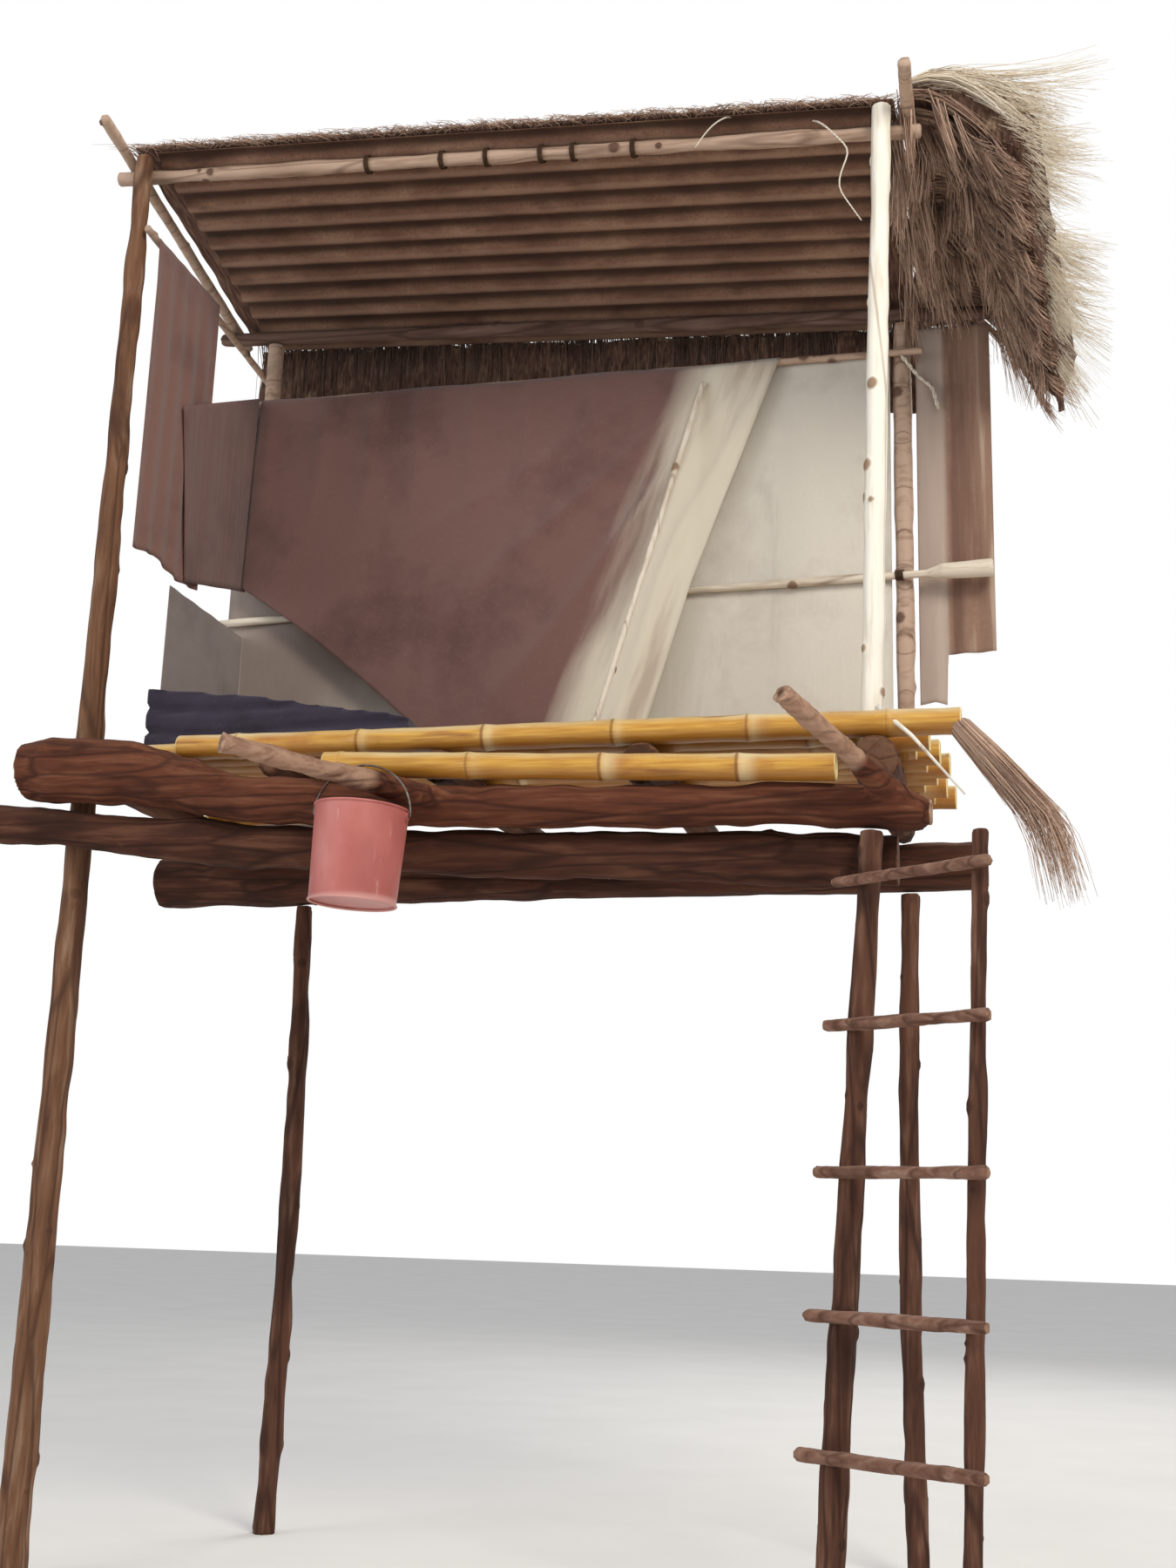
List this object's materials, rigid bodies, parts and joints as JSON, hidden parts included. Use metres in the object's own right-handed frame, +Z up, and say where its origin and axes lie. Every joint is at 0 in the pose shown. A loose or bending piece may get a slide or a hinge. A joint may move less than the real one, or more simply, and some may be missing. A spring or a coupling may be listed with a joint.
{
  "type": "tree house",
  "caption": "Look-out hut on round log legs with a bamboo floor, corrugated roof under dry grass, cloth walls, a ladder and a hanging bucket.",
  "frame": {"origin": "middle of the hut's box in plan, at ground level", "axes": "+X to the right along the open front, +Y to the back, +Z up"},
  "size_m": [2.7526, 1.4276, 3.662],
  "materials": {
    "dark_log": "weathered bark",
    "ladder_wood": "weathered",
    "bamboo": "satin",
    "peeled_pole": "matte",
    "old_sheet": "rusted",
    "dry_grass": "matte",
    "blanket_cloth": "matte",
    "drape_cloth": "matte",
    "canvas_cloth": "matte",
    "hessian_cloth": "matte",
    "bedding_cloth": "matte",
    "cane_wood": "matte",
    "bucket_paint": "chalky",
    "bail_wire": "rusted"
  },
  "bodies": {
    "hut": {"pole_front_left": "dark_log", "beam_front_upper": "dark_log", "beam_front_lower": "dark_log", "beam_back": "dark_log", "leg_back_left": "dark_log", "leg_back_right": "dark_log", "leg_front_right": "dark_log", "joists": "dark_log", "joist_left": "dark_log", "post_back_left": "dark_log", "post_back_right": "dark_log", "rafter_left": "dark_log", "rafter_right": "dark_log", "roof_pole_front": "dark_log", "roof_pole_back": "dark_log", "rail_middle": "dark_log", "rail_top": "dark_log", "rail_left": "dark_log", "ladder_stile_right": "ladder_wood", "ladder_rung_1": "ladder_wood", "ladder_rung_2": "ladder_wood", "ladder_rung_3": "ladder_wood", "ladder_rung_4": "ladder_wood", "ladder_rung_5": "ladder_wood", "floor_culm_front": "bamboo", "floor_culm_posts": "bamboo", "floor_culms": "bamboo", "floor_culm_lower": "bamboo", "post_front_right": "peeled_pole", "roof_sheet": "old_sheet", "roof_thatch": "dry_grass", "thatch_back_fringe": "dry_grass", "thatch_skirt": "dry_grass", "fibre_bundle": "dry_grass", "blanket": "blanket_cloth", "blanket_wing": "blanket_cloth", "drape_left": "drape_cloth", "curtain_left": "drape_cloth", "canvas_back": "canvas_cloth", "canvas_left_side": "canvas_cloth", "hessian_right": "hessian_cloth", "bedding": "bedding_cloth", "cane": "cane_wood", "bucket_bail": "bail_wire"},
    "bucket": {"bucket": "bucket_paint"}
  },
  "joints": [
    {"name": "bucket_swing", "type": "hinge", "parent": "hut", "child": "bucket", "pos_m": [-0.25767, -0.489, 1.68469], "axis": [0.9986, 0, -0.0523], "range_deg": [-15, 6]}
  ]
}
